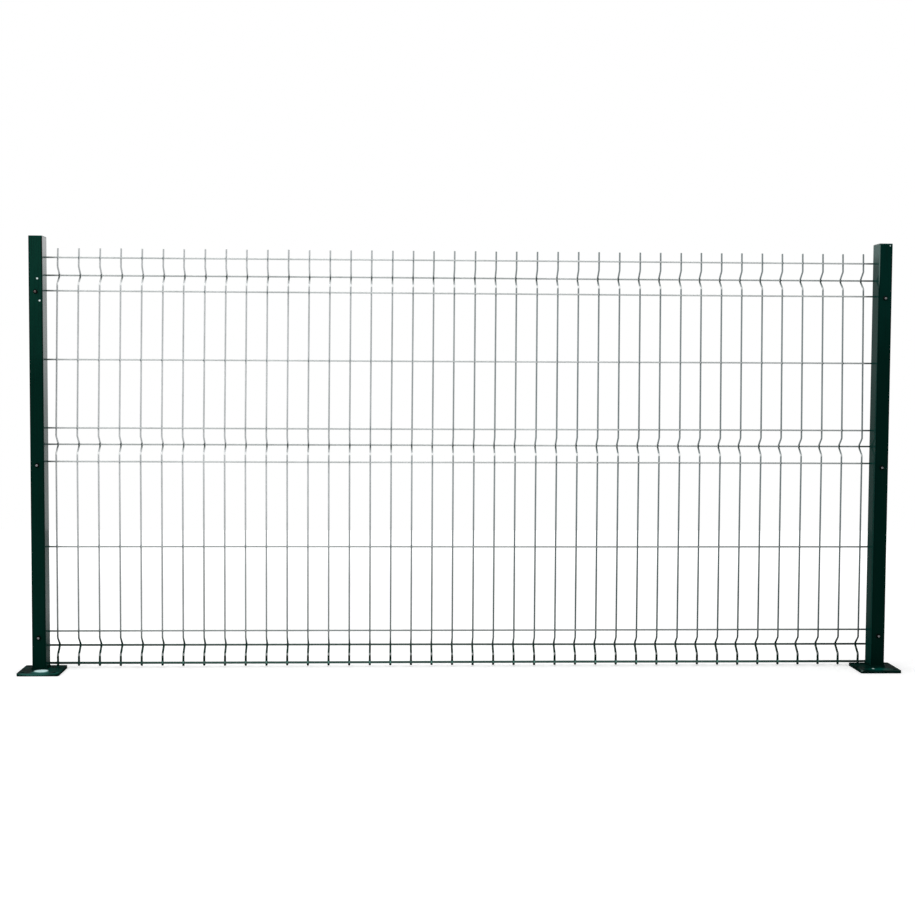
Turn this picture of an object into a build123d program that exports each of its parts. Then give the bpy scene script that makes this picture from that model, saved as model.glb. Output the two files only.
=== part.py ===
from build123d import *
import math
import os

# Welded mesh fence panel, held between clamps and the backs of two posts on base plates.
# Millimetres. +X runs along the fence from the left post to the right post, +Y points to the
# side that carries the mesh, +Z is up. The origin is on the underside of the left base plate,
# below the middle of the front face of the left post.

# Mesh
vertical_wire_count = 42
wire_width = 4.4               # side of a bar; it has the section area of a 5 mm round wire
weld_overlap = 1.6             # how far crossing wires sink into each other
panel_length = 2520.0
end_overhang = 2.5             # horizontal wire past the outermost vertical wire
fold_band = 98.0               # between the two flat wires of a fold
fold_half_height = 25.0        # fold line to the tip of the V, up or down
fold_depth = 30.0
lower_opening = 250.0          # wire spacing of the two lower rows of openings
upper_opening = 200.0          # wire spacing of the two upper rows of openings
ground_gap = 2.0               # below the wire ends, which hang behind the base plates
bottom_tip = 8.5               # vertical wires below the lowest horizontal wire
top_tip = 28.0                 # vertical wires above the highest horizontal wire
section_count = 6

# Posts
panel_past_post = 22.5         # end of the panel past the middle of the post
post_width = 40.0              # along the fence
post_depth = 60.0              # across the fence
post_wall = 2.0
post_corner = 3.0              # outer corner radius of the tube
post_above_mesh = 27.0
panel_gap = 0.2                # between the post and the horizontal wires

# Caps
cap_thickness = 3.0
cap_chamfer = 1.2
cap_plug_depth = 14.0
cap_plug_wall = 1.6
cap_plug_clearance = 0.2

# Base plates
plate_width = 120.0
plate_depth = 130.0            # its back edge lines up with the back of the post
plate_thickness = 8.0
plate_corner = 6.0
plate_inward_shift = 10.0      # plate centre from the post centre, towards the bay
anchor_hole_diameter = 12.0
anchor_edge_distance = 15.0
weld_leg = 4.0

# Clamps
clamp_width = 26.0
clamp_thickness = 2.0
clamp_wire_clearance = 0.3
clamp_reach_above = 7.0        # wire centre to the outside of the upper leg
clamp_reach_below = 21.0       # wire centre to the outside of the lower leg
clamp_bend_chamfer = 1.0

# Worked out from the sizes above
wire_reach = wire_width / math.sqrt(2)          # centre of a bar to its edge, set on edge
horizontal_wire_y = post_depth + panel_gap + wire_reach
vertical_wire_y = horizontal_wire_y + 2 * wire_reach - weld_overlap
fold_slope = math.atan2(fold_depth, fold_half_height)
fold_wire_y = vertical_wire_y + fold_depth - wire_reach / math.cos(fold_slope) - wire_reach
panel_start = -panel_past_post
post_spacing = panel_length - 2 * panel_past_post
wire_pitch = (panel_length - 2 * end_overhang) / (vertical_wire_count - 1)
wires_per_section = vertical_wire_count // section_count

bottom_fold = ground_gap + bottom_tip           # a fold is placed by its lower flat wire
middle_fold = bottom_fold + fold_band + 2 * lower_opening
top_fold = middle_fold + fold_band + 2 * upper_opening
wire_top = top_fold + fold_band + top_tip
post_top = wire_top + post_above_mesh
fold_starts = [bottom_fold, middle_fold, top_fold]
fold_tips = [start + fold_band / 2 for start in fold_starts]
flat_wires = fold_starts + [start + fold_band for start in fold_starts]
flat_wires += [bottom_fold + fold_band + lower_opening, middle_fold + fold_band + upper_opening]
clamped_wires = {"bottom": bottom_fold + fold_band, "middle": middle_fold, "top": top_fold}


def vertical_wire_x(index):
    return panel_start + end_overhang + index * wire_pitch


def bar_section(plane):
    return plane * Rectangle(wire_width, wire_width, rotation=45)


def vertical_wire():
    """One upright wire at X = 0, bent to a V at each fold."""
    points = [(0, vertical_wire_y, ground_gap)]
    for tip in fold_tips:
        points.append((0, vertical_wire_y, tip - fold_half_height))
        points.append((0, vertical_wire_y + fold_depth, tip))
        points.append((0, vertical_wire_y, tip + fold_half_height))
    points.append((0, vertical_wire_y, wire_top))
    start = Plane(origin=points[0], z_dir=(0, 0, 1), x_dir=(1, 0, 0))
    return sweep(bar_section(start), path=Polyline(*points), transition=Transition.RIGHT)


def horizontal_wire(x_start, x_end, y, z):
    start = Plane(origin=(x_start, y, z), z_dir=(1, 0, 0), x_dir=(0, 1, 0))
    return extrude(bar_section(start), amount=x_end - x_start)


def section_limits(section):
    """Where a section's horizontal wires begin and end: midway between two upright wires."""
    first = section * wires_per_section
    last = first + wires_per_section - 1
    start = vertical_wire_x(first) - wire_pitch / 2
    end = vertical_wire_x(last) + wire_pitch / 2
    if section == 0:
        start = panel_start
    if section == section_count - 1:
        last = vertical_wire_count - 1
        end = panel_start + panel_length
    return first, last, start, end


def mesh_section(section):
    """Upright wires welded behind horizontal ones; a fold's middle wire lies inside the V."""
    first, last, start, end = section_limits(section)
    upright = vertical_wire()
    wires = [Pos(X=vertical_wire_x(i)) * upright for i in range(first, last + 1)]
    wires += [horizontal_wire(start, end, horizontal_wire_y, z) for z in flat_wires]
    wires += [horizontal_wire(start, end, fold_wire_y, z) for z in fold_tips]
    return wires[0].fuse(*wires[1:])


def post_middle(height):
    return Plane(origin=(0, post_depth / 2, height))


def post():
    """Rectangular tube, from the base plate up to the cap."""
    outside = RectangleRounded(post_width, post_depth, post_corner)
    inside = Rectangle(post_width - 2 * post_wall, post_depth - 2 * post_wall)
    return extrude(post_middle(plate_thickness) * (outside - inside), post_top - plate_thickness)


def post_cap():
    """Plastic cap: a lid the size of the tube and a hollow plug inside the tube."""
    rim = post_middle(post_top)
    lid = extrude(rim * RectangleRounded(post_width, post_depth, post_corner), cap_thickness)
    lid = chamfer(lid.faces().sort_by(Axis.Z)[-1].edges(), cap_chamfer)
    plug_width = post_width - 2 * (post_wall + cap_plug_clearance)
    plug_length = post_depth - 2 * (post_wall + cap_plug_clearance)
    plug = Rectangle(plug_width, plug_length)
    plug -= Rectangle(plug_width - 2 * cap_plug_wall, plug_length - 2 * cap_plug_wall)
    return lid + extrude(rim * plug, -cap_plug_depth)


def base_plate(inward):
    """Plate with four anchor holes; inward is 1 or -1 along X, from the post to the bay."""
    middle = Pos(X=inward * plate_inward_shift, Y=post_depth - plate_depth / 2)
    plate = extrude(RectangleRounded(plate_width, plate_depth, plate_corner), plate_thickness)
    hole = extrude(Circle(anchor_hole_diameter / 2), plate_thickness)
    spacing_x = plate_width - 2 * anchor_edge_distance
    spacing_y = plate_depth - 2 * anchor_edge_distance
    return middle * (plate - GridLocations(spacing_x, spacing_y, 2, 2) * hole)


def base_weld():
    """Fillet weld round the front and both sides of the foot of the post."""
    foot = post_middle(plate_thickness)
    toe = foot * Rectangle(post_width + 2 * weld_leg, post_depth + 2 * weld_leg)
    bead = extrude(toe, weld_leg, taper=45)
    bead -= extrude(foot * RectangleRounded(post_width, post_depth, post_corner), weld_leg)
    plate_edge = Plane(origin=(0, post_depth - post_corner, 0), z_dir=(0, 1, 0))
    return split(bead, bisect_by=plate_edge, keep=Keep.BOTTOM)


def clamp(wire_height):
    """Bent strip hooked over one wire, with both legs on the back of the post."""
    web_inside = horizontal_wire_y + wire_reach + clamp_wire_clearance
    web_outside = web_inside + clamp_thickness
    high = wire_height + clamp_reach_above
    low = wire_height - clamp_reach_below
    outline = Polyline(
        (post_depth, low),
        (web_outside, low),
        (web_outside, high),
        (post_depth, high),
        (post_depth, high - clamp_thickness),
        (web_inside, high - clamp_thickness),
        (web_inside, low + clamp_thickness),
        (post_depth, low + clamp_thickness),
        close=True,
    )
    side = Plane(origin=(-clamp_width / 2, 0, 0), z_dir=(1, 0, 0), x_dir=(0, 1, 0))
    strip = extrude(side * make_face(outline), clamp_width)
    bends = strip.edges().filter_by(Axis.X).group_by(Axis.Y)[-1]
    return chamfer(bends, clamp_bend_chamfer)


def write(name, shape):
    shape.label = name
    export_step(shape, "parts/" + name + ".step")


os.makedirs("parts", exist_ok=True)

for section in range(section_count):
    write("mesh_section_" + str(section + 1), mesh_section(section))

for side, post_x, inward in (("left", 0.0, 1), ("right", post_spacing, -1)):
    place = Pos(X=post_x)
    write(side + "_post", place * post())
    write(side + "_post_cap", place * post_cap())
    write(side + "_base_plate", place * base_plate(inward))
    write(side + "_base_weld", place * base_weld())
    for level, wire_height in clamped_wires.items():
        write(side + "_" + level + "_clamp", place * clamp(wire_height))
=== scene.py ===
import bmesh
import bpy
import math
import random
from collections import namedtuple
from mathutils import Matrix, Vector


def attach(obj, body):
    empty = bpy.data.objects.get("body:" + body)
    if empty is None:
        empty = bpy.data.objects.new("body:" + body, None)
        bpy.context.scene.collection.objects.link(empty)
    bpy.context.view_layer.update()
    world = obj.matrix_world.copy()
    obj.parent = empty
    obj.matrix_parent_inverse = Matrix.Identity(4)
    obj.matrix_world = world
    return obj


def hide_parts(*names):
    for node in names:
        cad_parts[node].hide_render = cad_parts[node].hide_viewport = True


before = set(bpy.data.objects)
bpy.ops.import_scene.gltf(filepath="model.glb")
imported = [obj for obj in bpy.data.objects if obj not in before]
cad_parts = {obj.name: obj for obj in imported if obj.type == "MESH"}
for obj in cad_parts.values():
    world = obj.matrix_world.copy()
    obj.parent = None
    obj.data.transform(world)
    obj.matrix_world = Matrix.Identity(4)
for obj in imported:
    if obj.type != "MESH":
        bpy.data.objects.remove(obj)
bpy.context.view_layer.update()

# One bay of welded mesh fence. Metres, in the frame of the solids: +X along the fence, +Y to the
# side that carries the mesh, +Z up.

scene = bpy.context.scene
scene.view_settings.view_transform = "Standard"
rng = random.Random(11)

MM = 0.001
POST_X = {"left": 0.0, "right": 2.475}
POST_WIDTH = 40 * MM
POST_DEPTH = 60 * MM
POST_CORNER = 3 * MM
PLATE_TOP = 8 * MM

WIRE_RADIUS = 2.5 * MM
WIRE_SINK = 0.5 * MM            # how far two crossing wires are pressed into each other
UPRIGHT_COUNT = 42
PANEL_START = -22.5 * MM
PANEL_LENGTH = 2520 * MM
END_OVERHANG = 2.5 * MM
GROUND_GAP = 2 * MM
LEVEL_WIRE_Y = 62.7 * MM
UPRIGHT_Y = LEVEL_WIRE_Y + 2 * WIRE_RADIUS - WIRE_SINK
FOLD_HALF = 25 * MM
FOLD_DEPTH = 32 * MM
BEND_RADIUS = 7 * MM
WIRE_TOP = 1232.5 * MM
LOW_COAT = 0.70 * MM            # what the coat adds to a wire's radius in the lowest fold
FOOT_COAT = 0.25 * MM           # and what it adds once more at the wires' feet

# In millimetres: each level wire's height halfway along, and how much its right end stands
# above its left end
FLAT_WIRES = ((12.8, -2.1), (108.6, -0.4), (358.9, -0.2), (610.2, 1.3), (708.8, 1.5),
              (909.2, 2.5), (1108.8, 1.2), (1205.9, 2.6))
FOLD_WIRES = ((61.0, -3.1), (659.6, 1.0), (1155.9, 3.0))
TIPS_RISE = 3.5 * MM            # the wires' tops at the right end above those at the left

# Left end, then right end: how far the upright wires stand out of even spacing, and how far
# the panel is drawn in where it is pulled most
WIRE_SHIFT = (-0.8 * MM, 1.8 * MM)
DRAW_IN = (6.8 * MM, -5.0 * MM)

# Middle of each clamp's web and height of its bolt
CLAMPS = {"bottom": (101.5 * MM, 99 * MM), "middle": (601.5 * MM, 602 * MM),
          "top": (1099.5 * MM, 1102 * MM)}
CLAMP_WIDTH = 26 * MM
CLAMP_HEIGHT = 28 * MM
CLAMP_THICKNESS = 2 * MM
CLAMP_BACK = 68.2 * MM          # Y of the face that the bolt's head lies on
BOLT_RADIUS = 3 * MM

DARK_GREEN = (0.0005, 0.0085, 0.0062, 1)
# Green painted on the posts' sides for how light falls on them.
FLANK_GREEN = (0.002, 0.028, 0.022, 1)
DUST = (0.060, 0.105, 0.092, 1)
GRIT_SPECKS = (0.10, 0.15, 0.14, 1)
# Painted glint at the folds' lower bends.
GLINT_WHITE = (0.90, 0.92, 0.92, 1)
ZINC = (0.50, 0.51, 0.52, 1)
CHIPPED = (0.66, 0.78, 0.77, 1)

# A place of another tint on a coat, in the frame's metres; soft is the share of its radius over
# which it fades, and ragged how far its edge wanders
Mark = namedtuple("Mark", "centre radius tint stretch soft ragged",
                  defaults=((1, 1, 1), 0.25, 0.4))


def aim_camera():
    """The photograph's place and lens, solved from the wires, posts and plates."""
    data = bpy.data.cameras.new("photo_camera")
    camera = bpy.data.objects.new("photo_camera", data)
    scene.collection.objects.link(camera)
    yaw, pitch, roll = (math.radians(a) for a in (2.6793, -3.2256, 0.3222))
    ahead = Vector((math.sin(yaw) * math.cos(pitch), math.cos(yaw) * math.cos(pitch),
                    math.sin(pitch)))
    level = Vector((math.cos(yaw), -math.sin(yaw), 0))
    above = level.cross(ahead)
    right = math.cos(roll) * level + math.sin(roll) * above
    up = math.cos(roll) * above - math.sin(roll) * level
    turn = Matrix((right, up, -ahead)).transposed().to_4x4()
    camera.matrix_world = Matrix.Translation((1.00428, -4.52546, 0.88372)) @ turn
    data.sensor_width = 36
    data.lens = 36 * 1550.873 / 915
    data.clip_end = 100
    scene.camera = camera


class Socket:
    """An output of a shader node that takes part in Python expressions."""

    def __init__(self, finish, output):
        self.finish = finish
        self.output = output

    def math(self, operation, first, second):
        return self.finish.node("ShaderNodeMath", {"operation": operation}, {0: first, 1: second})

    def __add__(self, other):
        return self.math("ADD", self, other)

    def __sub__(self, other):
        return self.math("SUBTRACT", self, other)

    def __rsub__(self, other):
        return self.math("SUBTRACT", other, self)

    def __mul__(self, other):
        return self.math("MULTIPLY", self, other)

    def size(self):
        return self.math("ABSOLUTE", self, 0.0)

    __radd__ = __add__
    __rmul__ = __mul__


class Finish:
    """A material, or the world, with the nodes that shape it."""

    def __init__(self, name, block=None):
        self.block = block or bpy.data.materials.new(name)
        self.block.use_nodes = True
        self.tree = self.block.node_tree
        self.shader = self.tree.nodes.get("Principled BSDF") or self.tree.nodes.get("Background")
        self.place = self.node("ShaderNodeTexCoord", output="Object")

    def connect(self, made, sockets):
        for key, value in sockets.items():
            if isinstance(value, Socket):
                self.tree.links.new(value.output, made.inputs[key])
            else:
                made.inputs[key].default_value = value

    def node(self, kind, settings=None, sockets=None, output=0):
        made = self.tree.nodes.new(kind)
        for key, value in (settings or {}).items():
            setattr(made, key, value)
        self.connect(made, sockets or {})
        return Socket(self, made.outputs[output])

    def set(self, **sockets):
        self.connect(self.shader, {key.replace("_", " "): value for key, value in sockets.items()})

    def stretched(self, x, y, z):
        return self.node("ShaderNodeVectorMath", {"operation": "MULTIPLY"},
                         {0: self.place, 1: (x, y, z)})

    def noise(self, scale, detail=3.0, place=None):
        return self.node("ShaderNodeTexNoise", None,
                         {"Vector": place or self.place, "Scale": scale, "Detail": detail,
                          "Roughness": 0.55})

    def ramp(self, value, low, high):
        """0 below low, 1 above high and smooth between; low may be the larger."""
        return self.node("ShaderNodeMapRange", {"interpolation_type": "SMOOTHSTEP"},
                         {"Value": value, "From Min": low, "From Max": high})

    def mix(self, mask, first, second):
        return self.node("ShaderNodeMix", {"data_type": "RGBA"},
                         {"Factor": mask, 6: first, 7: second}, output=2)

    def part(self, axis):
        return self.node("ShaderNodeSeparateXYZ", None, {0: self.place}, output=axis)

    def spot(self, mark):
        """1 on a mark's patch of the surface and 0 off it."""
        middle = tuple(c * s for c, s in zip(mark.centre, mark.stretch))
        away = self.node("ShaderNodeVectorMath", {"operation": "DISTANCE"},
                         {0: self.stretched(*mark.stretch), 1: middle}, output="Value")
        edge = (self.noise(0.9 / mark.radius) - 0.5) * (mark.ragged * mark.radius)
        return self.ramp(away + edge, mark.radius, (1 - mark.soft) * mark.radius)

    def bump(self, height, distance, strength=1.0):
        return self.node("ShaderNodeBump", None,
                         {"Height": height, "Distance": distance, "Strength": strength})


def powder_coat(name, upper, lower, middle=None, flank_top=DUST, marks=(), wear=0.5,
                shine=1.0):
    """Gloss green coat: orange peel, drips, dusty patches, pale marks, duller near the ground.

    Its colour goes from lower to upper with height as painted light, and some marks are painted
    highlights. With middle, the X of a post's centre, painted shade darkens the coat along the
    post's corners, and its sides take a painted green of their own for how light falls on them,
    turning to flank_top near the top as a painted reflection.
    """
    coat = Finish(name)
    height = coat.part(2)
    cloud = coat.noise(9.0, 4.0)
    streak = coat.noise(1.0, 4.0, coat.stretched(160, 160, 5))
    dust = coat.ramp(streak * 0.6 + cloud * 0.4, 0.50, 0.72) * (0.16 * wear)
    fleck = coat.ramp(coat.noise(420.0, 2.0), 0.72, 0.76) * (0.35 * wear)
    # Painted light: lighter towards the top.
    colour = coat.mix(coat.ramp(height + (cloud - 0.5) * 0.3, 0.80, 1.20), lower, upper)
    colour = coat.mix(coat.ramp(streak, 0.45, 0.7) * 0.35, colour, DARK_GREEN)
    if middle is not None:
        aside = (coat.part(0) - middle).size()
        # Painted light: the sides get their own green, and a painted reflection near their top.
        flank = coat.mix(coat.ramp(height, 1.19, 1.24), FLANK_GREEN, flank_top)
        # Painted shade along the post's corners.
        colour = coat.mix(coat.ramp(aside, 14.5 * MM, 18.5 * MM) * 0.7, colour, DARK_GREEN)
        colour = coat.mix(coat.ramp(aside, 19.0 * MM, 19.7 * MM), colour, flank)
    colour = coat.mix(dust, colour, DUST)
    colour = coat.mix(fleck, colour, DUST)
    gloss = coat.ramp(height, 0.05, 0.20) * 0.31 + coat.ramp(height, 0.65, 1.05) * 0.34
    gloss = (gloss + coat.ramp(height, 1.10, 1.23) * 0.35) * shine
    roughness = coat.ramp(cloud, 0.3, 0.8) * 0.10 + 0.20 + dust * 0.6
    # Marks are bare chips, and painted highlights where a call gives them.
    for mark in marks:
        chip_and_highlight = coat.spot(mark)
        colour = coat.mix(chip_and_highlight, colour, mark.tint)
        roughness = roughness + chip_and_highlight * 0.25
        gloss = gloss * (1 - chip_and_highlight)
    coat.set(Base_Color=colour, Roughness=roughness, IOR=1.02 + 0.03 * shine, Coat_Weight=gloss,
             Coat_Roughness=0.06, Coat_IOR=1.6,
             Normal=coat.bump(coat.noise(520.0, 2.0), 0.00005, 0.25))
    return coat


def wire_coat(name, pale, dim, dim_from=0.9, dim_to=2.45, clearing=0.5, post_shade=0.0,
              foot=None, foot_top=36 * MM, folds=()):
    """Thin green coat on zinc: paler with height from painted sheen, dark near the ground.

    The pale colour turns into the dim one along the fence as painted shade, less so near the top
    by the share clearing, and next to the posts the wire takes a share of painted shade. Away from
    the posts it is foot below foot_top. Each of the folds has painted shade below its tip and a
    painted glint at its lower bend.
    """
    coat = Finish(name)
    height = coat.part(2)
    along = coat.part(0)
    cloud = coat.noise(6.0, 3.0)
    grain = coat.noise(300.0, 2.0)
    from_ends = 1 - (along - 1.25).size() * 0.8
    # Painted sheen: the share of the pale colour grows with height and falls to none near the
    # ground.
    sheen = coat.ramp(height, 0.12, 0.62) * 0.50 + 0.50
    sheen = sheen * coat.ramp(height + (cloud - 0.5) * 0.02 + (from_ends - 0.4) * 0.03,
                              0.060, 0.115)
    sheen = sheen * (coat.ramp(cloud, 0.3, 0.7) * 0.2 + 0.8)
    # Painted shade next to the posts.
    if post_shade:
        shaded_by_posts = coat.ramp(along, 0.055, 0.015) + coat.ramp(along, 2.425, 2.445)
        sheen = sheen * (1 - shaded_by_posts * post_shade)
    # Painted shade along the fence: the pale colour turns dim towards the right, as the light
    # falls from the left.
    shaded_along = coat.ramp(along, dim_from, dim_to)
    shaded_along = shaded_along * (1 - coat.ramp(height, 0.4, 1.25) * clearing)
    sheen_colour = coat.mix(shaded_along, pale, dim)
    # Dark green coat with painted shade that darkens it towards the right.
    green_and_shade = coat.mix(coat.ramp(along, 0.4, 2.2), (0.006, 0.030, 0.023, 1),
                     (0.0010, 0.014, 0.010, 1))
    sheen_colour = coat.mix(coat.ramp(grain, 0.5, 0.75) * 0.25, sheen_colour, GRIT_SPECKS)
    colour = coat.mix(sheen, green_and_shade, sheen_colour)
    for row in folds:
        slant = row[1] * MM / PANEL_LENGTH
        above_tip = height - along * slant - level_height(row, 0.0)
        # Painted shade below each fold's tip.
        shade = coat.ramp(above_tip, -21 * MM, -5 * MM) * coat.ramp(above_tip, 6 * MM, 1 * MM)
        colour = coat.mix(shade * 0.75, colour, (0.03, 0.06, 0.05, 1))
        # Painted glint at each fold's lower bend, fainter towards the right end.
        glint = coat.ramp((above_tip + 25.2 * MM).size(), 5.4 * MM, 2.2 * MM)
        glint = glint * (1 - coat.ramp(along, 1.7, 2.2) * 0.55)
        colour = coat.mix(glint * (sheen * 0.7 + 0.3), colour, GLINT_WHITE)
    if foot:
        low = coat.ramp(height, foot_top, foot_top - 5 * MM) * coat.ramp(from_ends, 0.0, 0.4)
        colour = coat.mix(low, colour, foot)
    coat.set(Base_Color=colour, IOR=1.1,
             Roughness=coat.ramp(cloud, 0.3, 0.8) * 0.15 + 0.25,
             Coat_Weight=sheen * 0.4, Coat_Roughness=0.15,
             Normal=coat.bump(grain, 0.00004, 0.3))
    return coat


def plate_paint(name, green, marks):
    """Post coat on a dust-speckled plate; marks are its pale places, most of them painted sheen,
    highlights and reflected light.
    """
    coat = Finish(name)
    speckle = coat.noise(260.0, 4.0)
    cloud = coat.noise(38.0, 3.0)
    colour = coat.mix(coat.ramp(cloud, 0.38, 0.62), DARK_GREEN, green)
    colour = coat.mix(coat.ramp(speckle, 0.62, 0.74) * 0.35, colour, DUST)
    colour = coat.mix(coat.ramp(coat.part(2), 6.5 * MM, 4.5 * MM) * 0.75, colour, DARK_GREEN)
    for mark in marks:
        colour = coat.mix(coat.spot(mark), colour, mark.tint)
    coat.set(Base_Color=colour, Roughness=coat.ramp(speckle, 0.4, 0.7) * 0.2 + 0.3,
             Normal=coat.bump(speckle, 0.00008, 0.4), IOR=1.05)
    return coat


def moulded_cap(name, green):
    coat = Finish(name)
    grain = coat.noise(900.0, 2.0)
    cloud = coat.noise(60.0, 3.0)
    colour = coat.mix(coat.ramp(cloud, 0.2, 0.6), DARK_GREEN, green)
    coat.set(Base_Color=colour, Roughness=coat.ramp(cloud, 0.3, 0.8) * 0.15 + 0.30,
             Normal=coat.bump(grain, 0.00003, 0.3), IOR=1.05, Coat_Weight=0.9,
             Coat_Roughness=0.08, Coat_IOR=1.6)
    return coat


def black_oxide():
    metal = Finish("black_oxide")
    grain = metal.noise(700.0, 3.0)
    cloud = metal.noise(140.0, 3.0)
    colour = metal.mix(metal.ramp(cloud, 0.5, 0.75), (0.002, 0.0025, 0.0025, 1),
                       (0.010, 0.012, 0.011, 1))
    metal.set(Base_Color=colour, Roughness=metal.ramp(grain, 0.3, 0.8) * 0.2 + 0.35,
              Normal=metal.bump(grain, 0.00003, 0.5), IOR=1.15)
    return metal


def bright_zinc():
    """Zinc on the bolts; one of them has gone brown."""
    metal = Finish("bright_zinc")
    grain = metal.noise(600.0, 3.0)
    cloud = metal.noise(120.0, 3.0)
    colour = metal.mix(metal.ramp(cloud, 0.35, 0.7), ZINC, (0.34, 0.36, 0.37, 1))
    brown = Mark((POST_X["left"], 0, CLAMPS["top"][1]), 40 * MM, (0.20, 0.165, 0.155, 1),
                 (1, 0.2, 1), ragged=0.3)
    colour = metal.mix(metal.spot(brown), colour, brown.tint)
    metal.set(Base_Color=colour, Metallic=0.6,
              Roughness=metal.ramp(grain, 0.3, 0.8) * 0.15 + 0.35,
              Normal=metal.bump(grain, 0.00002, 0.5))
    return metal


def piece(name, shape, finishes, replaced=(), smooth_angle=40):
    """Makes a piece of the object from a bmesh and sets what it rides on and stands for."""
    mesh = bpy.data.meshes.new(name)
    bmesh.ops.remove_doubles(shape, verts=shape.verts, dist=1e-7)
    bmesh.ops.recalc_face_normals(shape, faces=shape.faces)
    shape.to_mesh(mesh)
    shape.free()
    made = bpy.data.objects.new(name, mesh)
    scene.collection.objects.link(made)
    for finish in finishes:
        mesh.materials.append(finish.block)
    mesh.shade_smooth()
    mesh.set_sharp_from_angle(angle=math.radians(smooth_angle))
    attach(made, "root")
    if replaced:
        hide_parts(*replaced)
    return made


def share_between(value, start, end):
    """0 at start, 1 at end and even between them; end may be the smaller."""
    return min(1.0, max(0.0, (value - start) / (end - start)))


def blend(ends, share):
    """The value that lies a share of the way from the first to the second."""
    return ends[0] + (ends[1] - ends[0]) * share


def direction(path, index, reach=1):
    """Which way a row of points runs at one of them."""
    before = path[max(index - reach, 0)]
    after = path[min(index + reach, len(path) - 1)]
    return (after - before).normalized()


def skin(shape, rings):
    """Faces from ring to ring, and one over each end."""
    count = len(rings[0])
    for near, far in zip(rings, rings[1:]):
        for index in range(count):
            after = (index + 1) % count
            shape.faces.new((near[index], near[after], far[after], far[index]))
    shape.faces.new(rings[0][::-1])
    shape.faces.new(rings[-1])


def rounded_path(corners, radius, steps):
    """The corners joined by straight runs, with an arc of points in place of each inner one."""
    path = [corners[0]]
    for before, corner, after in zip(corners, corners[1:], corners[2:]):
        back = (before - corner).normalized()
        on = (after - corner).normalized()
        half = back.angle(on) / 2
        centre = corner + (back + on).normalized() * radius / math.sin(half)
        reach = radius / math.tan(half)
        first = corner + back * reach - centre
        last = corner + on * reach - centre
        for step in range(steps + 1):
            path.append(centre + first.lerp(last, step / steps).normalized() * radius)
    path.append(corners[-1])
    return path


def tube(shape, path, radii, sides=12, broken=0.25):
    """A round bar along the path; broken is the share of its radius off the edge of each end."""
    tangents = [direction(path, index) for index in range(len(path))]
    first, last = radii[0], radii[-1]
    stations = [(path[0], tangents[0], (1 - broken) * first),
                (path[0] + tangents[0] * broken * first, tangents[0], first)]
    stations += list(zip(path[1:-1], tangents[1:-1], radii[1:-1]))
    stations += [(path[-1] - tangents[-1] * broken * last, tangents[-1], last),
                 (path[-1], tangents[-1], (1 - broken) * last)]
    along = tangents[0]
    side = along.orthogonal().normalized()
    rings = []
    for point, tangent, size in stations:
        side = along.rotation_difference(tangent) @ side
        along = tangent
        other = tangent.cross(side)
        ring = []
        for index in range(sides):
            angle = 2 * math.pi * index / sides
            offset = side * math.cos(angle) + other * math.sin(angle)
            ring.append(shape.verts.new(point + offset * size))
        rings.append(ring)
    skin(shape, rings)


def turned(shape, centre, profile, sides=32, flats=0):
    """A solid turned about a line along Y; profile is (radius, y) pairs from end to end.

    With flats, radii are measured across the flats of a prism with that many sides.
    """
    rings = []
    count = flats or sides
    for radius, y in profile:
        size = radius / math.cos(math.pi / flats) if flats else radius
        ring = []
        for index in range(count):
            angle = 2 * math.pi * (index + 0.5 * bool(flats)) / count
            offset = Vector((math.cos(angle) * size, y, math.sin(angle) * size))
            ring.append(shape.verts.new(centre + offset))
        rings.append(ring)
    skin(shape, rings)


def upright_x(index, height=0.0):
    """Where an upright wire stands; the panel is a little drawn in towards its top."""
    share = index / (UPRIGHT_COUNT - 1)
    even = PANEL_START + END_OVERHANG + share * (PANEL_LENGTH - 2 * END_OVERHANG)
    shift = blend(WIRE_SHIFT, share_between(share, 0.45, 0.75))
    lift = max(0.0, (height - 0.50) / 0.57)
    return even + shift + blend(DRAW_IN, share) * lift ** 2


def level_height(row, x):
    """Height of a level wire at a place along the fence."""
    height, rise = row
    return (height + rise * ((x - PANEL_START) / PANEL_LENGTH - 0.5)) * MM


def coated_radius(height):
    """Radius of a wire with its coat, which is thicker near the ground."""
    low = share_between(height, 80 * MM, 50 * MM)
    foot = share_between(height, 36 * MM, 26 * MM)
    return WIRE_RADIUS + LOW_COAT * low + FOOT_COAT * foot


def fold_apex():
    """Y of an upright wire's centre at the tip of a fold, after the bend has rounded it."""
    slope = math.atan2(FOLD_HALF, FOLD_DEPTH)
    return UPRIGHT_Y + FOLD_DEPTH - BEND_RADIUS * (1 / math.sin(slope) - 1)


def upright_wires():
    """Bent upright wires; the coat has run down them and is thicker at their feet."""
    shape = bmesh.new()
    for index in range(UPRIGHT_COUNT):
        sway = rng.uniform(-0.5, 0.5) * MM
        low = GROUND_GAP + (rng.uniform(1.4, 2.6) - 2.4 * index / UPRIGHT_COUNT) * MM
        high = WIRE_TOP + TIPS_RISE * index / UPRIGHT_COUNT - rng.uniform(0, 1.0) * MM
        places = [(0, low)]
        for row in FOLD_WIRES:
            middle = level_height(row, upright_x(index))
            depth = FOLD_DEPTH + rng.uniform(-0.8, 0.8) * MM
            places += [(0, middle - FOLD_HALF), (depth, middle), (0, middle + FOLD_HALF)]
        places.append((0, high))
        corners = [Vector((upright_x(index, z) + sway * z / high, UPRIGHT_Y + y, z))
                   for y, z in places]
        path = rounded_path(corners, BEND_RADIUS, 5)
        tube(shape, path, [coated_radius(point.z) for point in path])
    return shape


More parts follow.
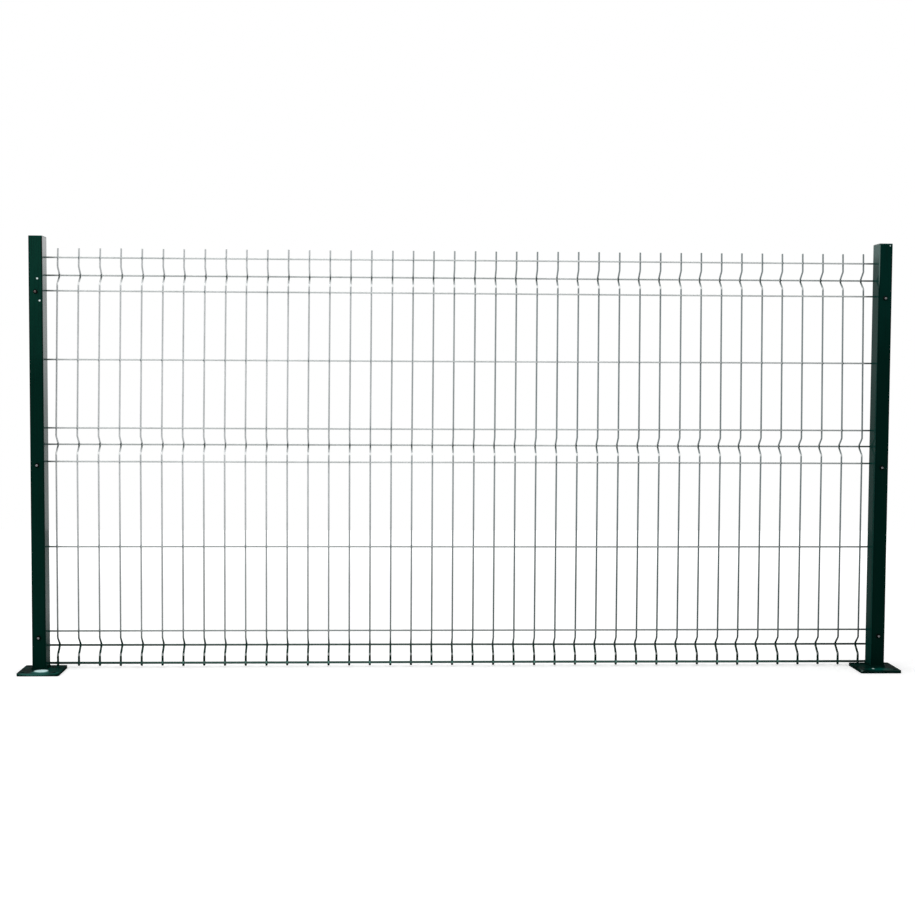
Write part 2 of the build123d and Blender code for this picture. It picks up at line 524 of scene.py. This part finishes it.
def level_wires(rows, y):
    """Straight wires along the fence, with the faint waves of a drawn wire."""
    shape = bmesh.new()
    for row in rows:
        radius = coated_radius(row[0] * MM)
        wave = rng.uniform(0, 2 * math.pi)
        path = []
        for step in range(UPRIGHT_COUNT):
            x = PANEL_START + PANEL_LENGTH * step / (UPRIGHT_COUNT - 1)
            swing = 0.25 * MM * math.sin(wave + 3.6 * x)
            path.append(Vector((x, y, level_height(row, x) + swing)))
        tube(shape, path, [radius] * len(path))
    return shape


def weld_spots(rows, y, set_back=1.0 * MM):
    """The coat gathered round the weld of each pair of crossing wires."""
    shape = bmesh.new()
    for row in rows:
        for index in range(UPRIGHT_COUNT):
            size = rng.uniform(0.95, 1.15)
            height = level_height(row, upright_x(index))
            thick = coated_radius(height) - WIRE_RADIUS
            middle = Vector((upright_x(index, height), y + set_back, height))
            scale = Matrix.Diagonal((3.5 * MM * size, 3.7 * MM * size + thick,
                                     2.75 * MM * size + thick, 1))
            bmesh.ops.create_icosphere(shape, subdivisions=2, radius=1.0,
                                       matrix=Matrix.Translation(middle) @ scale)
    return shape


def mesh_panel():
    """The wires and their welds, each kind in its own coat with painted sheen and shade."""
    sections = ["mesh_section_%d" % (index + 1) for index in range(6)]
    fold_y = fold_apex() - 2 * WIRE_RADIUS + WIRE_SINK
    # Painted light: the level wires are painted paler than the upright ones, for the light that
    # falls on them from above.
    upright = wire_coat("upright_wire_coat", (0.64, 0.66, 0.67, 1), (0.23, 0.275, 0.28, 1),
                        dim_from=0.5, dim_to=1.7, clearing=0.15,
                        foot=(0.001, 0.010, 0.007, 1), folds=FOLD_WIRES)
    level = wire_coat("level_wire_coat", (0.66, 0.69, 0.69, 1), (0.38, 0.41, 0.41, 1),
                      dim_from=1.3, clearing=0.7, post_shade=0.7,
                      foot=(0.050, 0.095, 0.082, 1))
    fold = wire_coat("fold_wire_coat", (0.57, 0.60, 0.60, 1), (0.22, 0.25, 0.25, 1),
                     dim_from=1.5, post_shade=0.7, foot=(0.080, 0.110, 0.100, 1),
                     foot_top=80 * MM)
    # Painted highlight: the pale green at the feet of the weld spots on the lowest wire.
    weld = wire_coat("weld_coat", (0.22, 0.26, 0.27, 1), (0.09, 0.12, 0.12, 1),
                     foot=(0.10, 0.26, 0.21, 1))
    # Painted shade: the welds in the folds are painted darker, for the shade in the tips of the
    # folds.
    fold_weld = wire_coat("fold_weld_shade_coat", (0.08, 0.10, 0.10, 1), (0.02, 0.04, 0.035, 1))
    piece("upright_wires", upright_wires(), [upright], sections)
    piece("level_wires", level_wires(FLAT_WIRES, LEVEL_WIRE_Y), [level], sections)
    piece("fold_wires", level_wires(FOLD_WIRES, fold_y), [fold], sections)
    piece("weld_spots", weld_spots(FLAT_WIRES, LEVEL_WIRE_Y), [weld])
    piece("fold_weld_spots", weld_spots(FOLD_WIRES, fold_y, 0.4 * MM), [fold_weld])


def clamp_strip(x, middle):
    """Strip bent round one wire, with rounded bends and both legs on the post."""
    web = CLAMP_BACK - CLAMP_THICKNESS / 2
    rise = (CLAMP_HEIGHT - CLAMP_THICKNESS) / 2
    corners = [Vector((0, POST_DEPTH, middle - rise)), Vector((0, web, middle - rise)),
               Vector((0, web, middle + rise)), Vector((0, POST_DEPTH, middle + rise))]
    path = rounded_path(corners, 1.9 * MM, 6)
    shape = bmesh.new()
    half = CLAMP_WIDTH / 2
    rings = []
    for index, point in enumerate(path):
        along = direction(path, index)
        across = Vector((0, -along.z, along.y)) * CLAMP_THICKNESS / 2
        ring = []
        for side, face in ((-half, -1), (half, -1), (half, 1), (-half, 1)):
            ring.append(shape.verts.new(point + across * face + Vector((x + side, 0, 0))))
        rings.append(ring)
    skin(shape, rings)
    bmesh.ops.recalc_face_normals(shape, faces=shape.faces)
    edges = [e for e in shape.edges if e.calc_face_angle(0) > math.radians(60)]
    bmesh.ops.bevel(shape, geom=edges, offset=0.3 * MM, segments=2, affect="EDGES",
                    profile=0.5)
    return shape


def bolt_body(centre):
    """Domed bolt from the clamp through the post, with the turns of its thread in front."""
    head_radius, head_rim, head_crown = 7.2 * MM, 0.5 * MM, 2.9 * MM
    thread_start, thread_end, pitch = -5.6 * MM, -8.0 * MM, 0.8 * MM
    root, crest = 2.55 * MM, 3.2 * MM
    profile = [(0.1 * MM, CLAMP_BACK + head_rim + head_crown)]
    for step in range(1, 9):
        angle = math.pi / 2 * step / 8
        profile.append((head_radius * math.sin(angle),
                        CLAMP_BACK + head_rim + head_crown * math.cos(angle)))
    profile += [(head_radius, CLAMP_BACK), (BOLT_RADIUS, CLAMP_BACK),
                (BOLT_RADIUS, thread_start)]
    y = thread_start
    while y > thread_end:
        profile += [(root, y - 0.25 * MM), (crest, y - 0.7 * MM)]
        y -= pitch
    profile += [(2.6 * MM, y - 0.4 * MM)]
    shape = bmesh.new()
    turned(shape, centre, profile, sides=28)
    return shape


def flange_nut(centre):
    """Black nut with a round flange against the front of the post."""
    flange = [(BOLT_RADIUS, 0.0), (6.1 * MM, 0.0), (6.3 * MM, -0.4 * MM), (6.3 * MM, -0.9 * MM),
              (5.6 * MM, -1.8 * MM), (4.9 * MM, -2.1 * MM), (BOLT_RADIUS, -2.1 * MM)]
    hexagon = [(BOLT_RADIUS, -1.6 * MM), (4.7 * MM, -1.6 * MM), (4.7 * MM, -5.3 * MM),
               (4.3 * MM, -5.9 * MM), (3.1 * MM, -5.9 * MM)]
    shape = bmesh.new()
    turned(shape, centre, flange, sides=36)
    turned(shape, centre, hexagon, flats=6)
    return shape


def fixings():
    """A clamp, a bolt and a nut at each of three heights on both posts."""
    clamp_coat = powder_coat("clamp_coat", (0.0015, 0.026, 0.018, 1),
                             (0.0008, 0.016, 0.011, 1), wear=0.8)
    black = black_oxide()
    zinc = bright_zinc()
    for side, x in POST_X.items():
        for level, (middle, bolt_height) in CLAMPS.items():
            name = side + "_" + level
            piece(name + "_clamp_strip", clamp_strip(x, middle), [clamp_coat],
                  [name + "_clamp"])
            centre = Vector((x, 0, bolt_height))
            piece(name + "_bolt", bolt_body(centre), [zinc])
            piece(name + "_nut", flange_nut(centre), [black], smooth_angle=30)


def foot_bead(x):
    """Rippled fillet weld along the left side, the front and the right side of a post."""
    half = POST_WIDTH / 2
    back = POST_DEPTH - POST_CORNER
    corners = [Vector((x - half, back, PLATE_TOP)), Vector((x - half, 0, PLATE_TOP)),
               Vector((x + half, 0, PLATE_TOP)), Vector((x + half, back, PLATE_TOP))]
    ripple = 0.8 * MM
    root = 0.4 * MM                # how far the bead reaches into the post's wall
    path = []
    for start, end in zip(corners, corners[1:]):
        steps = max(2, round((end - start).length / ripple))
        path += [start.lerp(end, step / steps) for step in range(steps)]
    path.append(corners[-1])
    middle = Vector((x, POST_DEPTH / 2, PLATE_TOP))
    shape = bmesh.new()
    rings = []
    for index, point in enumerate(path):
        along = direction(path, index, 3)
        out = Vector((along.y, -along.x, 0))
        if out.dot(point - middle) < 0:
            out = -out
        leg = (3.7 + 0.35 * math.cos(index * 2.1) + rng.uniform(-0.25, 0.25)) * MM
        leg *= min(1.0, 0.55 + index / 12, 0.55 + (len(path) - 1 - index) / 12)
        ring = [point - out * root - Vector((0, 0, 0.3 * MM))]
        for step in range(7):
            angle = math.pi / 2 * step / 6
            bulge = 1 - 0.22 * math.sin(2 * angle)
            ring.append(point + out * (leg * math.cos(angle) * bulge)
                        + Vector((0, 0, leg * math.sin(angle) * bulge)))
        ring.append(point - out * root + Vector((0, 0, leg)))
        rings.append([shape.verts.new(v) for v in ring])
    skin(shape, rings)
    return shape


def repaint(node, finish):
    """Gives a solid that stays in view its finish."""
    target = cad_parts[node]
    for index in range(len(target.material_slots)):
        target.material_slots[index].link = "OBJECT"
        target.material_slots[index].material = finish.block


def posts():
    """The finishes of the posts, caps and plates, and the weld bead round each foot."""
    left = powder_coat(
        "left_post_coat", (0.0024, 0.036, 0.024, 1), (0.0006, 0.0175, 0.0118, 1),
        POST_X["left"], (0.095, 0.105, 0.107, 1),
        (Mark((0.005, 0.0, 1.140), 3.1 * MM, CHIPPED),
         Mark((0.0115, 0.0, 1.0766), 3.0 * MM, CHIPPED)),
        wear=0.15)
    # The right post is painted darker than the left: painted shade, as the light falls from the
    # left.
    right = powder_coat(
        "right_post_coat", (0.0010, 0.021, 0.016, 1), (0.0006, 0.0120, 0.0088, 1),
        POST_X["right"], (0.060, 0.108, 0.098, 1),
        (Mark((2.487, 0.0, 1.2560), 1.9 * MM, (0.50, 0.62, 0.61, 1), (1, 1, 0.8)),
         # Painted highlight along the inner front corner near the top.
         Mark((2.4562, 0.001, 1.235), 110 * MM, (0.10, 0.16, 0.145, 1), (50, 50, 1))),
        wear=0.15, shine=0.17)
    left_cap = moulded_cap("left_cap_moulding", (0.0050, 0.060, 0.045, 1))
    # The right cap is painted darker: painted shade.
    right_cap = moulded_cap("right_cap_moulding", (0.0035, 0.046, 0.037, 1))
    left_plate = plate_paint("left_plate_paint", (0.001, 0.034, 0.026, 1), (
        # Painted sheen on the front half.
        Mark((0.016, -0.050, PLATE_TOP), 34 * MM, (0.045, 0.170, 0.150, 1), (1, 1.6, 1),
             0.6, 0.48),
        # Painted pool of light that the post's front reflects onto the plate.
        Mark((0.013, -0.030, PLATE_TOP), 23 * MM, (0.62, 0.84, 0.84, 1), (1, 0.95, 1),
             0.3, 0.24),
        # Painted highlight along the front edge.
        Mark((0.002, -0.070, PLATE_TOP), 62 * MM, (0.026, 0.105, 0.090, 1), (1, 16, 8),
             0.5, 0.4),
        # Painted highlight at the front right corner.
        Mark((0.060, -0.060, PLATE_TOP), 13 * MM, (0.006, 0.075, 0.060, 1), (1, 1, 1),
             0.6, 0.48)))
    # The right plate's green is painted darker: painted shade.
    right_plate = plate_paint("right_plate_paint", (0.0008, 0.020, 0.015, 1), (
        # Painted sheen on the front half.
        Mark((2.468, -0.046, PLATE_TOP), 40 * MM, (0.001, 0.062, 0.047, 1), (0.7, 1.6, 1),
             0.8, 0.64),
        Mark((2.4505, -0.036, PLATE_TOP), 4.6 * MM, (0.50, 0.68, 0.66, 1), (1, 0.6, 1),
             0.5, 0.4),
        # Painted highlight at the front left corner.
        Mark((2.408, -0.066, PLATE_TOP), 6 * MM, (0.07, 0.11, 0.10, 1), (1, 1, 1),
             0.6, 0.48)))
    bead = powder_coat("bead_coat", (0.001, 0.020, 0.014, 1), (0.0006, 0.011, 0.008, 1),
                       wear=0.3)
    for side, post, cap, plate in (("left", left, left_cap, left_plate),
                                   ("right", right, right_cap, right_plate)):
        repaint(side + "_post", post)
        repaint(side + "_post_cap", cap)
        repaint(side + "_base_plate", plate)
        piece(side + "_foot_bead", foot_bead(POST_X[side]), [bead],
              [side + "_base_weld"], smooth_angle=60)


def pale_floor():
    """White to the camera away from the panel, and dark where the right post mirrors it."""
    shape = bmesh.new()
    bmesh.ops.create_grid(shape, x_segments=8, y_segments=8, size=4)
    mesh = bpy.data.meshes.new("floor")
    shape.to_mesh(mesh)
    shape.free()
    floor = bpy.data.objects.new("floor", mesh)
    floor.location = (1.24, 0, -0.0002)
    scene.collection.objects.link(floor)
    pale = Finish("pale_floor")
    seen = pale.node("ShaderNodeLightPath", output="Is Camera Ray")
    mirrored = pale.node("ShaderNodeLightPath", output="Is Glossy Ray")
    away = pale.node("ShaderNodeVectorMath", {"operation": "LENGTH"}, {0: pale.place},
                     output="Value")
    colour = pale.mix(pale.noise(2.0), (0.86, 0.86, 0.86, 1), (0.88, 0.88, 0.88, 1))
    lit_side = pale.ramp(pale.part(0), 1.3, 0.9) * pale.ramp(pale.part(1), 0.0, 0.3)
    colour = pale.mix(mirrored * (1 - lit_side * 0.8), colour, (0.04, 0.04, 0.04, 1))
    pale.set(Base_Color=colour, Roughness=0.7, Emission_Strength=1.0,
             Emission_Color=pale.mix(seen * (pale.ramp(away, 1.8, 3.4) * 0.27 + 0.30),
                                     (0, 0, 0, 1), (1, 1, 1, 1)))
    mesh.materials.append(pale.block)


def white_room():
    """White to the camera, a white wall low in mirrors, and even light on everything else."""
    world = bpy.data.worlds.new("studio")
    scene.world = world
    air = Finish("studio", world)
    air.place = air.node("ShaderNodeTexCoord", output="Generated")
    camera_ray = air.node("ShaderNodeLightPath", output="Is Camera Ray")
    glossy_ray = air.node("ShaderNodeLightPath", output="Is Glossy Ray")
    clear_ray = air.node("ShaderNodeLightPath", output="Is Transmission Ray")
    wall = air.ramp(air.part(2), 0.17, 0.08) * 0.9 + 0.1
    room = air.ramp(air.part(1), -0.1, 0.4)
    shown = room * wall + (1 - room) * 0.03
    level = camera_ray + glossy_ray * shown + (1 - camera_ray - glossy_ray) * (
        clear_ray * 0.3 + 0.7)
    air.set(Color=(1, 1, 1, 1), Strength=level)


def lamp(name, place, target, size, power):
    """A soft rectangular lamp that faces its target."""
    data = bpy.data.lights.new(name, "AREA")
    data.shape = "RECTANGLE"
    data.size, data.size_y = size
    data.energy = power
    made = bpy.data.objects.new(name, data)
    made.location = place
    made.rotation_euler = (Vector(target) - Vector(place)).to_track_quat("-Z", "Y").to_euler()
    scene.collection.objects.link(made)


def studio():
    """Pale floor, white surroundings and two soft lamps above the panel."""
    pale_floor()
    white_room()
    lamp("key_lamp", (-1.5, -2.5, 4.2), (1.2, 0, 0.6), (2.0, 2.0), 60)
    lamp("top_lamp", (1.24, 0.6, 4.0), (1.24, 0, 0.6), (3.5, 1.2), 45)


mesh_panel()
fixings()
posts()
studio()
aim_camera()
